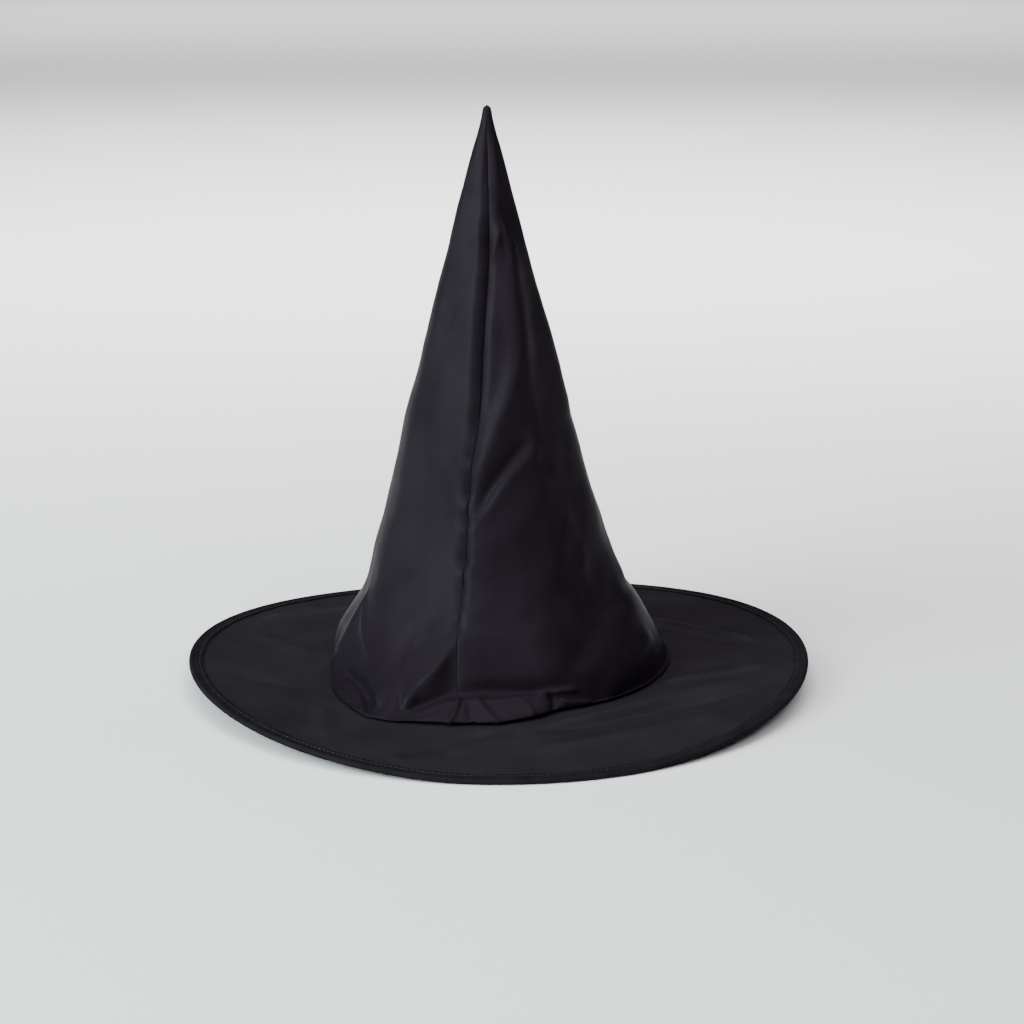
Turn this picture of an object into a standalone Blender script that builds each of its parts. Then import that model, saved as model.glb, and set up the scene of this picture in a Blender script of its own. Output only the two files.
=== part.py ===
"""Pointed costume hat: a rolled cloth cone on a wired, bound, two-layer brim.

Frame: metres, +Z up, the seam of the crown faces -Y, and the origin is the
middle of the footprint on the surface that the hat stands on.
"""

import math

import bmesh
import bpy

COLLECTION_NAME = "witch_hat"

# Driving sizes
BRIM_RADIUS = 0.190
HAT_HEIGHT = 0.347
JOIN_RADIUS = 0.0985
JOIN_HEIGHT = 0.0085
RIM_LIFT = 0.0136
TIP_LEAN = 0.0065
LEAN_HEIGHT = 0.12
SEAM_ALLOWANCE = 0.0065
ALLOWANCE_SHARE = 0.4
BEND_HEIGHT = 0.274

# Cloth, thread and wire
CLOTH = 0.0004
GAP = 0.0003
LAYER = CLOTH + GAP
BINDING_CLOTH = 0.0003
THREAD_RADIUS = 0.00012
THREAD_GAP = 0.00025
WIRE_RADIUS = 0.0006
SLEEVE_INNER = 0.00085
SLEEVE_OUTER = 0.0011
SLEEVE_LENGTH = 0.016
WIRE_END_GAP = 0.0016

# The bound edge: the hem bulges round the wire and closes on the two brim cloths
HEM_OUTER = 0.00165
WIRE_HEIGHT = HEM_OUTER
WIRE_RING = BRIM_RADIUS - HEM_OUTER
HEM_LEG = 0.001
HEM_THROAT = WIRE_RING - 0.0024
HEM_WIDTH = 0.0085
HEM_STITCH_RING = BRIM_RADIUS - 0.0065
PANEL_EDGE = WIRE_RING - 0.0015
SADDLE_GROWTH = 1.5

# Crown, as (radius, height) down to the join, and the heights that divide it.
CROWN_PROFILE = [
    (0.0000, HAT_HEIGHT),
    (0.0013, 0.3465),
    (0.0022, 0.3450),
    (0.0031, 0.3400),
    (0.0046, 0.3337),
    (0.0081, 0.3219),
    (0.0158, 0.2928),
    (0.0234, 0.2632),
    (0.0315, 0.2331),
    (0.0627, 0.1097),
    (0.0692, 0.0850),
    (0.0785, 0.0600),
    (0.0890, 0.0440),
    (0.0985, 0.0330),
    (0.1036, 0.0245),
    (0.1042, 0.0185),
    (0.1018, 0.0135),
    (JOIN_RADIUS, 0.0104),
]
ROW_STEP = 0.035
PANEL_TOP = 0.2615
FOLD_BOTTOM = PANEL_TOP + GAP
TIP_BOTTOM = 0.2865
FOLD_TOP = TIP_BOTTOM - GAP
INTERLINING_BOTTOM = 0.034
INTERLINING_TOP = 0.2575
NORMAL_STEP = 0.001

# Across the crown's seam, from the seam line: where the far edge folds back, where
# the near edge dives, and where the interlining's edge and the thread lie
SEAM_FOLD = 0.0010
SEAM_DIVE = 0.0002
SEAM_FLOOR = 0.00015
SEAM_TO_INTERLINING = 0.0015
SEAM_TO_THREAD = 0.0016
SEAM_THREAD_BOTTOM = 0.0185
SEAM_THREAD_TOP = 0.3337
THREAD_END = 0.002

# Turned-up edges inside the crown, inwards from the crown's lower edge
COLLAR_RING = JOIN_RADIUS - 3 * LAYER
COLLAR_HEIGHT = 0.0075
COLLAR_CORNER = 0.0015
JOIN_STITCH_RISE = 0.004
BAND_RING = COLLAR_RING - 2 * LAYER
BAND_BOTTOM = 0.0065
BAND_TOP = 0.0300
BAND_TILT = 0.0012
BAND_HEM = 0.0060
BAND_END_GAP = 0.0015

# Where the foot of the crown slumps outwards, as (angle, reach, half width),
# and the share of the reach at each height, as (share, height)
FOOT_LOBES = [
    (math.radians(-122), 0.0195, math.radians(42)),
    (math.radians(7), 0.0075, math.radians(34)),
]
SLUMP_LEVELS = [(0.0, 0.044), (0.05, 0.033), (0.2, 0.0245), (0.5, 0.0185), (1.0, 0.0135), (0.0, 0.0104)]

# The seam turns with the sheet, from its angle at the foot to its angle near the tip
SEAM_FOOT_ANGLE = math.radians(-105)
SEAM_TIP_ANGLE = math.radians(-88)
TWIST_BOTTOM = 0.10
TWIST_TOP = 0.28

RIM_SEGMENTS = 48
CROWN_SEGMENTS = 36
TIP_SEGMENTS = 24
BACK_ANGLE = math.radians(90)
SADDLE_TURN = math.tau / RIM_SEGMENTS
RESTING_HALF_ANGLE = math.radians(15)

SATIN = {"color": (0.014, 0.014, 0.018), "roughness": 0.45, "metallic": 0.0}
BINDING = {"color": (0.010, 0.010, 0.013), "roughness": 0.5, "metallic": 0.0}
THREAD = {"color": (0.012, 0.012, 0.014), "roughness": 0.6, "metallic": 0.0}
RIBBON = {"color": (0.011, 0.011, 0.012), "roughness": 0.7, "metallic": 0.0}
NONWOVEN = {"color": (0.030, 0.030, 0.032), "roughness": 0.9, "metallic": 0.0}
STEEL = {"color": (0.42, 0.42, 0.43), "roughness": 0.35, "metallic": 1.0}
ALUMINIUM = {"color": (0.62, 0.62, 0.63), "roughness": 0.4, "metallic": 1.0}


def lean(height):
    """Sideways shift of the crown's middle at a height."""
    return -TIP_LEAN * (1 - math.exp(-((height / LEAN_HEIGHT) ** 2)))


def between(points, height):
    """Value at a height on a line of (value, height) points that runs downwards."""
    for (upper, upper_z), (lower, lower_z) in zip(points, points[1:]):
        if height >= lower_z:
            share = min(1.0, (height - lower_z) / (upper_z - lower_z))
            return lower + (upper - lower) * share
    return points[-1][0]


def crown_radius(height):
    """Radius of the crown's cloth at a height, before it slumps."""
    return between(CROWN_PROFILE, height)


def slump(angle, height):
    """How far the foot of the crown hangs out over the brim."""
    reach = 0.0
    for middle, most, half_width in FOOT_LOBES:
        off = math.remainder(angle - middle, math.tau) / half_width
        if abs(off) < 1:
            reach += most * math.cos(off * math.pi / 2) ** 2
    return reach * between(SLUMP_LEVELS, height)


def seam_angle(height):
    """Angle of the crown's seam at a height."""
    share = min(1.0, max(0.0, (height - TWIST_BOTTOM) / (TWIST_TOP - TWIST_BOTTOM)))
    return SEAM_FOOT_ANGLE + (SEAM_TIP_ANGLE - SEAM_FOOT_ANGLE) * share


def crown_heights(bottom, top):
    """Heights of the crown's rows between two levels, from the top down."""
    corners = [top, *(z for _, z in CROWN_PROFILE if bottom + GAP < z < top - GAP), bottom]
    heights = [top]
    for upper, lower in zip(corners, corners[1:]):
        steps = math.ceil((upper - lower) / ROW_STEP)
        heights += [upper + (lower - upper) * step / steps for step in range(1, steps + 1)]
    return heights


def rim_lift(angle):
    """Height of the wired edge over its resting height: a saddle, flat where it rests."""
    wave = 0.5 + 0.5 * math.cos(2 * (angle - SADDLE_TURN))
    resting = 0.5 - 0.5 * math.cos(2 * RESTING_HALF_ANGLE)
    return RIM_LIFT * max(0.0, (wave - resting) / (1 - resting))


def brim_share(radius):
    """How far out on the brim a radius is: 0 at the join, 1 from the hem's throat on."""
    share = (radius - COLLAR_RING) / (HEM_THROAT - COLLAR_RING)
    return min(1.0, max(0.0, share))


def brim_rise(radius, angle):
    """Part of the rim's lift that the brim has taken up at a radius."""
    return rim_lift(angle) * brim_share(radius) ** SADDLE_GROWTH


def brim_level(radius):
    """Height of the unlifted brim at a radius, from the join down to the wire."""
    return JOIN_HEIGHT + (WIRE_HEIGHT - JOIN_HEIGHT) * brim_share(radius)


def ring_point(radius, angle, height):
    """Point on a faceted ring whose corners are the rim's segments."""
    facet = math.tau / RIM_SEGMENTS
    from_middle = (angle % facet) - facet / 2
    distance = radius * math.cos(facet / 2) / math.cos(from_middle)
    return (distance * math.cos(angle), distance * math.sin(angle), height)


def material(name, finish):
    """Principled material of a sub-part."""
    made = bpy.data.materials.new(name)
    made.use_nodes = True
    shader = made.node_tree.nodes["Principled BSDF"]
    shader.inputs["Base Color"].default_value = (*finish["color"], 1)
    shader.inputs["Roughness"].default_value = finish["roughness"]
    shader.inputs["Metallic"].default_value = finish["metallic"]
    return made


def add_object(name, data, finish, collection):
    """Object for a sub-part, with its own material."""
    data.materials.append(material(name, finish))
    made = bpy.data.objects.new(name, data)
    collection.objects.link(made)
    return made


def add_thickness(made, thickness):
    """Thickness on an open surface, half to each side."""
    solid = made.modifiers.new("thickness", "SOLIDIFY")
    solid.thickness = thickness
    solid.offset = 0
    solid.use_even_offset = True
    return made


def cloth_object(name, mesh, finish, thickness, collection):
    """Sub-part made of cloth: a smooth open sheet with its thickness."""
    made = add_object(name, mesh, finish, collection)
    mesh.shade_smooth()
    mesh.set_sharp_from_angle(angle=math.radians(40))
    return add_thickness(made, thickness)


def turned_mesh(name, profile, segments, start=0.0, sweep=math.tau):
    """Open sheet made by turning an (r, z) profile about +Z."""
    build = bmesh.new()
    corners = []
    for radius, height in profile:
        corners.append(build.verts.new((radius * math.cos(start), radius * math.sin(start), height)))
    edges = [build.edges.new(pair) for pair in zip(corners, corners[1:])]
    bmesh.ops.spin(
        build,
        geom=corners + edges,
        axis=(0, 0, 1),
        cent=(0, 0, 0),
        angle=sweep,
        steps=segments,
        use_duplicate=False,
    )
    bmesh.ops.remove_doubles(build, verts=build.verts, dist=1e-6)
    bmesh.ops.recalc_face_normals(build, faces=build.faces)
    mesh = bpy.data.meshes.new(name)
    build.to_mesh(mesh)
    build.free()
    return mesh


def lift_with_brim(mesh):
    """Raise a turned mesh by the saddle of the brim."""
    for vertex in mesh.vertices:
        radius = math.hypot(vertex.co.x, vertex.co.y)
        vertex.co.z += brim_rise(radius, math.atan2(vertex.co.y, vertex.co.x))


def lean_with_crown(mesh):
    """Shift a turned mesh sideways with the crown."""
    for vertex in mesh.vertices:
        vertex.co.x += lean(vertex.co.z)


def tube(name, points, radius, finish, collection, closed, resolution):
    """Round thread or wire along a row of points."""
    curve = bpy.data.curves.new(name, "CURVE")
    curve.dimensions = "3D"
    curve.twist_mode = "Z_UP"
    curve.bevel_depth = radius
    curve.bevel_resolution = resolution
    curve.use_fill_caps = not closed
    spline = curve.splines.new("POLY")
    spline.points.add(len(points) - 1)
    for knot, point in zip(spline.points, points):
        knot.co = (*point, 1)
    spline.use_cyclic_u = closed
    return add_object(name, curve, finish, collection)


def rim_angles():
    """Angles of the rim's corners, counter-clockwise from +X."""
    return [math.tau * step / RIM_SEGMENTS for step in range(RIM_SEGMENTS)]


def thread_ring(name, radius, level, lifted, collection):
    """Stitch row running all the way round."""
    points = []
    for angle in rim_angles():
        rise = brim_rise(radius, angle) if lifted else 0.0
        points.append((radius * math.cos(angle), radius * math.sin(angle), level + rise))
    return tube(name, points, THREAD_RADIUS, THREAD, collection, True, 0)


def brim_panel(name, side, collar_ring, collection):
    """One cloth of the brim, with its inner edge turned up into the crown."""
    corner_level = JOIN_HEIGHT + COLLAR_CORNER + side
    profile = [(collar_ring, JOIN_HEIGHT + COLLAR_HEIGHT), (collar_ring, corner_level)]
    first = collar_ring + COLLAR_CORNER
    steps = 4
    for step in range(steps + 1):
        radius = first + (HEM_THROAT - first) * step / steps
        profile.append((radius, brim_level(radius) + side))
    profile.append((PANEL_EDGE, WIRE_HEIGHT + side))
    mesh = turned_mesh(name, profile, RIM_SEGMENTS)
    lift_with_brim(mesh)
    return cloth_object(name, mesh, SATIN, CLOTH, collection)


def hem_profile():
    """Mid-line of the binding: over the brim, round the wire and back below."""
    half_facet = math.radians(22.5)
    bulge = (HEM_OUTER - BINDING_CLOTH / 2) / math.cos(half_facet)
    inner_edge = BRIM_RADIUS - HEM_WIDTH
    round_wire = []
    for facet in (5, 3, 1, -1, -3, -5):
        turn = facet * half_facet
        round_wire.append((WIRE_RING + bulge * math.cos(turn), bulge * math.sin(turn)))
    upper = [(inner_edge, HEM_LEG), (HEM_THROAT, HEM_LEG)]
    lower = [(HEM_THROAT, -HEM_LEG), (inner_edge, -HEM_LEG)]
    return [(radius, WIRE_HEIGHT + height) for radius, height in upper + round_wire + lower]


def rim_binding(collection):
    """Bias tape folded over the edges of both brim cloths and the wire."""
    mesh = turned_mesh("rim_binding", hem_profile(), RIM_SEGMENTS)
    for vertex in mesh.vertices:
        angle = math.atan2(vertex.co.y, vertex.co.x)
        radius = math.hypot(vertex.co.x, vertex.co.y)
        vertex.co.z += brim_rise(radius, angle) + brim_level(radius) - WIRE_HEIGHT
    return cloth_object("rim_binding", mesh, BINDING, BINDING_CLOTH, collection)


def rim_wire(collection):
    """Spring-steel hoop in the hem, its two ends meeting at the back."""
    end = WIRE_END_GAP / 2 / WIRE_RING
    angles = [BACK_ANGLE + end]
    angles += [BACK_ANGLE + math.tau * step / RIM_SEGMENTS for step in range(1, RIM_SEGMENTS)]
    angles.append(BACK_ANGLE + math.tau - end)
    points = [ring_point(WIRE_RING, angle, WIRE_HEIGHT + rim_lift(angle)) for angle in angles]
    return tube("rim_wire", points, WIRE_RADIUS, STEEL, collection, False, 1)


def rim_wire_sleeve(collection):
    """Crimp sleeve bent over the two ends of the hoop."""
    half = SLEEVE_LENGTH / 2 / WIRE_RING
    angles = [BACK_ANGLE - half, BACK_ANGLE, BACK_ANGLE + half]
    points = [ring_point(WIRE_RING, angle, WIRE_HEIGHT + rim_lift(angle)) for angle in angles]
    middle = (SLEEVE_INNER + SLEEVE_OUTER) / 2
    made = tube("rim_wire_sleeve", points, middle, ALUMINIUM, collection, False, 1)
    made.data.use_fill_caps = False
    return add_thickness(made, SLEEVE_OUTER - SLEEVE_INNER)


def seam_allowance(radius):
    """Width of the seam allowance, narrower where the crown is thin."""
    return min(SEAM_ALLOWANCE, ALLOWANCE_SHARE * radius)


def seam_section(radius):
    """(arc length, inward offset) along the crown's sheet at one height.

    Arc lengths run counter-clockwise from the seam line. Both seam allowances
    lie under the sheet on the -X side: the far edge is folded back on itself,
    and the near edge dives below that fold.
    """
    allowance = seam_allowance(radius)
    round_trip = math.tau * radius
    fold = round_trip - SEAM_FOLD
    section = [(-allowance, 2 * LAYER), (-SEAM_FLOOR, 2 * LAYER), (SEAM_DIVE, 0.0)]
    for step in range(1, CROWN_SEGMENTS):
        section.append((SEAM_DIVE + (fold - SEAM_DIVE) * step / CROWN_SEGMENTS, 0.0))
    section += [(fold, 0.0), (fold + LAYER / 2, LAYER / 2), (fold, LAYER)]
    section.append((round_trip - allowance, LAYER))
    return section


def lofted_sheet(name, rows):
    """Open sheet through equal rows of points."""
    build = bmesh.new()
    grid = [[build.verts.new(point) for point in row] for row in rows]
    for upper, lower in zip(grid, grid[1:]):
        for left in range(len(upper) - 1):
            build.faces.new((upper[left], lower[left], lower[left + 1], upper[left + 1]))
    bmesh.ops.recalc_face_normals(build, faces=build.faces)
    mesh = bpy.data.meshes.new(name)
    build.to_mesh(mesh)
    build.free()
    return mesh


def crown_reach(angle, height):
    """Distance of the crown's cloth from its middle."""
    return crown_radius(height) + slump(angle, height)


def crown_normal(angle, height):
    """(radial, upward) direction out of the crown's surface."""
    above = min(height + NORMAL_STEP, HAT_HEIGHT)
    below = max(height - NORMAL_STEP, CROWN_PROFILE[-1][1])
    run = crown_reach(angle, above) - crown_reach(angle, below)
    rise = above - below
    return rise / math.hypot(run, rise), -run / math.hypot(run, rise)


def crown_point(arc, inward, height):
    """Point on the crown by arc length from the seam and depth under its surface."""
    angle = seam_angle(height) + arc / crown_radius(height)
    outward, upward = crown_normal(angle, height)
    distance = crown_reach(angle, height) - inward * outward
    level = height - inward * upward
    return (distance * math.cos(angle) + lean(height), distance * math.sin(angle), level)


def crown_panel(collection):
    """The sheet rolled into a cone and closed by a plain seam at the front."""
    rows = []
    for height in crown_heights(CROWN_PROFILE[-1][1], PANEL_TOP):
        section = seam_section(crown_radius(height))
        rows.append([crown_point(arc, inward, height) for arc, inward in section])
    mesh = lofted_sheet("crown_panel", rows)
    return cloth_object("crown_panel", mesh, SATIN, CLOTH, collection)


def crown_interlining(collection):
    """Stiff non-woven cone inside the sheet, its edges butting at the seam."""
    rows = []
    for height in crown_heights(INTERLINING_BOTTOM, INTERLINING_TOP):
        radius = crown_radius(height)
        width = math.tau * radius - seam_allowance(radius) - SEAM_FOLD - SEAM_TO_INTERLINING
        row = []
        for step in range(CROWN_SEGMENTS + 1):
            arc = SEAM_TO_INTERLINING + width * step / CROWN_SEGMENTS
            row.append(crown_point(arc, LAYER + GAP, height))
        rows.append(row)
    mesh = lofted_sheet("crown_interlining", rows)
    return cloth_object("crown_interlining", mesh, NONWOVEN, CLOTH, collection)


def turned_crown_part(name, bottom, top, segments, collection):
    """Stretch of the crown's cloth between two heights."""
    profile = [(crown_radius(height), height) for height in crown_heights(bottom, top)]
    mesh = turned_mesh(name, profile, segments)
    lean_with_crown(mesh)
    return cloth_object(name, mesh, SATIN, CLOTH, collection)


def seam_thread(name, bottom, top, arc, cloths, collection):
    """Thread of the crown's seam, inside the last of the cloths that it closes."""
    inward = cloths * LAYER + CLOTH / 2 + THREAD_GAP + THREAD_RADIUS
    points = [crown_point(arc, inward, height) for height in crown_heights(bottom, top)]
    return tube(name, points, THREAD_RADIUS, THREAD, collection, False, 0)


def sweatband(collection):
    """Ribbon round the inside of the head opening, its top edge hemmed outwards."""
    top = BAND_RING - BAND_TILT
    profile = [
        (BAND_RING, BAND_BOTTOM),
        (BAND_RING, JOIN_HEIGHT + COLLAR_HEIGHT + GAP),
        (top, BAND_TOP),
        (top + LAYER / 2, BAND_TOP + LAYER / 2),
        (top + LAYER, BAND_TOP),
        (top + LAYER, BAND_TOP - BAND_HEM),
    ]
    opening = BAND_END_GAP / BAND_RING
    mesh = turned_mesh("sweatband", profile, RIM_SEGMENTS, BACK_ANGLE + opening / 2, math.tau - opening)
    return cloth_object("sweatband", mesh, RIBBON, CLOTH, collection)


def hang_on_joint(pieces, collection):
    """Empty on the bend's axis, carrying the pieces of the crown's tip."""
    axis = bpy.data.objects.new("crown_tip_bend_axis", None)
    axis.location = (lean(BEND_HEIGHT), 0, BEND_HEIGHT)
    collection.objects.link(axis)
    for piece in pieces:
        piece.parent = axis
        piece.location = -axis.location


def build_brim(collection):
    """Two cloths, the wire, its sleeve, the binding and its two thread rows."""
    brim_panel("brim_top_panel", LAYER / 2, COLLAR_RING, collection)
    brim_panel("brim_under_panel", -LAYER / 2, COLLAR_RING - LAYER, collection)
    rim_wire(collection)
    rim_wire_sleeve(collection)
    rim_binding(collection)
    over_leg = HEM_LEG + BINDING_CLOTH / 2 + THREAD_GAP + THREAD_RADIUS
    stitch_level = brim_level(HEM_STITCH_RING)
    thread_ring("rim_needle_thread", HEM_STITCH_RING, stitch_level + over_leg, True, collection)
    thread_ring("rim_bobbin_thread", HEM_STITCH_RING, stitch_level - over_leg, True, collection)


def build_head_opening(collection):
    """Sweatband, its top stitch and the thread that joins crown, brim and band."""
    sweatband(collection)
    inside_band = CLOTH / 2 + THREAD_GAP + THREAD_RADIUS
    stitch_level = JOIN_HEIGHT + JOIN_STITCH_RISE
    thread_ring("join_thread", BAND_RING - inside_band, stitch_level, False, collection)
    hem_ring = BAND_RING - BAND_TILT - inside_band
    thread_ring("sweatband_thread", hem_ring, BAND_TOP - BAND_HEM / 2, False, collection)


def build_crown(collection):
    """Sheet, interlining and seam thread, then the pieces of the tip."""
    crown_panel(collection)
    crown_interlining(collection)
    turned_crown_part("crown_fold_panel", FOLD_BOTTOM, FOLD_TOP, CROWN_SEGMENTS, collection)
    panel_end = PANEL_TOP - THREAD_END
    seam_thread("crown_seam_thread", SEAM_THREAD_BOTTOM, panel_end, -SEAM_TO_THREAD, 2, collection)
    tip_panel = turned_crown_part("crown_tip_panel", TIP_BOTTOM, HAT_HEIGHT, TIP_SEGMENTS, collection)
    tip_start = TIP_BOTTOM + THREAD_END
    tip_thread = seam_thread("crown_tip_thread", tip_start, SEAM_THREAD_TOP, 0.0, 0, collection)
    hang_on_joint([tip_panel, tip_thread], collection)


def main():
    """Clear the scene and build the hat."""
    for old in list(bpy.data.objects):
        bpy.data.objects.remove(old, do_unlink=True)
    collection = bpy.data.collections.new(COLLECTION_NAME)
    bpy.context.scene.collection.children.link(collection)
    build_brim(collection)
    build_head_opening(collection)
    build_crown(collection)


main()
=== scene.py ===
"""Looks of the witch hat: a slumped satin crown on a wired, bound, two-cloth brim.

The crown is one continuous sheet. Its shape is a set of meridians, drawn
round the foot, with named folds pressed into it along their own paths.
"""

import math

import bpy
import numpy as np
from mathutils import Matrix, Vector, noise


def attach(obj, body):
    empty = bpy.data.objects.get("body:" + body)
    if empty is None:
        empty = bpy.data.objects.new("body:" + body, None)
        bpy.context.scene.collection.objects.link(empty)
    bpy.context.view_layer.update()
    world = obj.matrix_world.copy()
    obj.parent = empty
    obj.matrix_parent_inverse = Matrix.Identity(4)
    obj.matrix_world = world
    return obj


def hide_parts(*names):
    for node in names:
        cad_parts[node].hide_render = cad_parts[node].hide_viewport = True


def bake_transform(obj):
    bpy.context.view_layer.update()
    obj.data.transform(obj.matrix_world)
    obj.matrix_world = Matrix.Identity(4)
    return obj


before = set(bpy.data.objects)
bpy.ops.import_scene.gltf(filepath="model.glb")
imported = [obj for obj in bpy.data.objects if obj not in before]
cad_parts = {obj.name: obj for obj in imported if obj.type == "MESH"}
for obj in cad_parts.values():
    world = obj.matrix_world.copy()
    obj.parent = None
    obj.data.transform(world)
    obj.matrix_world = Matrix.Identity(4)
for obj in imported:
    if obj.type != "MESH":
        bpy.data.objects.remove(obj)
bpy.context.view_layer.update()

MM = 0.001

# Sizes that the CAD shares, in metres
BRIM_RADIUS = 0.190
JOIN_RADIUS = 0.0985
JOIN_HEIGHT = 0.0085
RIM_LIFT = 0.0136
SADDLE_TURN = math.radians(7.5)
SADDLE_GROWTH = 1.5
RESTING_HALF_ANGLE = math.radians(15)
TIP_LEAN = 0.0065
LEAN_HEIGHT = 0.12
CLOTH = 0.0004
LAYER = 0.0007
BINDING_CLOTH = 0.0003
HEM_OUTER = 0.00165
WIRE_HEIGHT = HEM_OUTER
WIRE_RING = BRIM_RADIUS - HEM_OUTER
HEM_LEG = 0.001
HEM_THROAT = WIRE_RING - 0.0024
HEM_WIDTH = 0.0085
HEM_STITCH_RING = BRIM_RADIUS - 0.0065
PANEL_EDGE = WIRE_RING - 0.0015
COLLAR_RING = JOIN_RADIUS - 3 * LAYER
COLLAR_HEIGHT = 0.0075
BAND_RING = COLLAR_RING - 2 * LAYER
BAND_BOTTOM = 0.0065
BAND_TOP = 0.0300
BAND_TILT = 0.0012
BAND_HEM = 0.0060
BAND_END_GAP = 0.0015
SEAM_ALLOWANCE = 0.0065
INTERLINING_TOP = 0.2570

# The crown's cut and its seam allowances: shares of the crown's radius and of their
# own width, and places past the seam on the flat cloth, in degrees
ALLOWANCE_SHARE = 0.4
ALLOWANCE_SHARES = (0.12, 0.4, 0.7, 1.0)
ALLOWANCE_PLACES = (0.5, 2, 4, 6)
ALLOWANCE_DEPTH_SHARE = 0.35
TRIMMED_SHARE = 0.03
SAME_POINT = 0.00002

# The interlining: depth inside the crown, first level in mm, gap to the seam
# allowances, columns, and share of the square cloth that its cut takes
INTERLINING_DEPTH = 0.0011
INTERLINING_LEVEL = 44
INTERLINING_GAP = 0.0015
INTERLINING_COLUMNS = 240

# The brim's cloths: step between columns in degrees, rows, and where slack begins off
# the foot and the hem
BRIM_COLUMN = 1.25
BRIM_ROWS = 64
SLACK_OFF_FOOT = (-0.002, 0.008)
HEM_MARGIN = 0.003
HEM_FADE = 0.012

# Their turned-up edge: height of its middle row, steps of its bend, and the shares of
# the radius that its rows keep on the flat cloth
COLLAR_LOW = 0.004
COLLAR_BEND = (0.0006, 0.0012, 0.002)
COLLAR_PATTERN = (0.92, 0.96, 0.985)

# The tape: how far a stitch draws it in, how it swells and how its edges wander, as
# (depth, waves round the brim, start)
TAPE_PULL = 0.0001
TAPE_SWELL = 0.00005
TAPE_WANDER = ((0.00025, 23, 1), (0.00018, 61, 0))

# The sweatband's looseness, from a height up, and how far in its stitch rows lie
BAND_COLUMNS = 240
BAND_LOOSE = 0.0165
BAND_LOOSE_RISE = 0.012
BAND_WAVE = 0.0005
BAND_JOIN = 0.0125
BAND_JOIN_INWARD = 0.0003
BAND_TOP_INWARD = BAND_TILT + 0.0005

# The crown by its seam: dip over the allowances, groove, and puckers with their
# beats as (length in levels, start, share)
SEAM_DIP = 0.0019
SEAM_DIP_LEFT = 0.008
SEAM_DIP_RIGHT = 0.005
SEAM_DIP_SHARPNESS = 1.4
SEAM_GROOVE = 0.0003
SEAM_GROOVE_WIDTH = 0.0005
PUCKER = 0.0016
PUCKER_WIDTH = 0.0046
PUCKER_BEATS = ((3.1, 0, 0.6), (1.9, 1.3, 0.4), (5.7, 0, 0.5))
TIGHTEST_LEVEL = 118
TIGHT_STRETCH = 42
LOOSE_SHARE = 0.3

# Levels in mm over which things on the crown grow in or fade out to the tip, and the
# radius up to which its slack does
FOLDS_IN = (0, 4)
ALLOWANCE_IN = (1, 6)
SEAM_IN, SEAM_OUT = (2, 14), (343, 318)
SLACK_IN = (3, 15)
DIP_IN = (20, 90)
FACETS_IN, FACETS_OUT = (30, 80), (345, 305)
SLACK_RADIUS = 0.03

# Where a noise texture's values mostly lie, and the cast of the satin's shine
NOISE_RANGE = (0.3, 0.7)
SATIN_TINT = (0.95, 0.88, 1.0, 1)

# Unevenness of the cloths, as (depth, size of a dent, seed)
CROWN_DENTS = ((0.0009, 0.034, 1), (0.00028, 0.011, 2))
BRIM_DENTS = ((0.0005, 0.045, 3), (0.00014, 0.012, 4))

# Threads: size, lift off the cloth, bow of a stitch, and the rows' stitches
THREAD_RADIUS = 0.00014
THREAD_LIFT = 0.0001
STITCH_RISE = 0.0002
HEM_STITCH_RISE = 0.00022
HEM_STITCHES = 384
BAND_STITCH = 0.003
SEAM_STITCH = 0.0028
SEAM_STITCHES_FROM = 0.034
SEAM_STITCHES_TO = 0.325
SEAM_STITCHES_FIRST_ROW = 41
SEAM_THREAD_SIDE = 0.0016
SEAM_THREAD_SHARE = 0.1
STITCH_FILL = 0.78
STITCH_END_SHARE = 0.55

# Camera, fitted to the outline of the brim
CAMERA_AT = (0.0, -1.32757556, 0.45295823)
CAMERA_AIM = (0.0081, 0.0, 0.1024)
CAMERA_LENS = 79.277
CAMERA_SENSOR = 36

# Lights: name, place, aim, size, power in watts, colour and spread in degrees. The
# narrow ones light the floor behind the hat and not the hat.
LIGHTS = (
    ("key", (-1.9, -1.2, 1), (0, 0, 0.12), (1.6, 1.4), 106, (0.87, 1, 0.98), 180),
    ("left", (-2.2, -0.35, 0.8), (0, 0, 0.12), (1.4, 1.4), 3, (0.86, 1, 0.97), 180),
    ("high left", (-1.2, -1.2, 2.2), (0, 0, 0), (1.4, 1.4), 26, (0.97, 0.98, 1), 180),
    ("front", (0.9, -1.8, 2.2), (0, 0, 0), (1.4, 1.4), 34, (1, 0.96, 0.99), 180),
    ("top", (0, 0.3, 2.6), (0, 0, 0), (2.2, 2.2), 58, (0.98, 0.98, 1), 180),
    ("back", (0, 3.4, 3), (0, 3.4, 0), (4, 1), 26, (1, 1, 1), 80),
    ("far back", (0, 10, 6.5), (0, 10, 0), (12, 8), 480, (1, 1, 1), 84),
    ("far floor", (0, 1.3, 1.8), (0, 3.6, 0), (3.5, 0.8), 170, (1, 1, 1), 180),
)
SURROUNDINGS = 0.02
FLOOR_SIZE = 60
FLOOR_DROP = 0.0002

# Levels of the crown, in mm: where each meridian point stands, from the edge that is
# turned up inside the join, round the slumped foot, to the start of the plain cone.
# A level is a name for a place on the cloth, near its height above the join. The
# inner edge has the first three levels.
FOOT_LEVELS = (-14, -6, 0, 4, 8, 16, 24, 32, 40, 60, 85)
INNER_RADII = (97.4, 97.5, 98.6)
INNER_HEIGHTS = (17, 11.4, 9.7)

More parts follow.
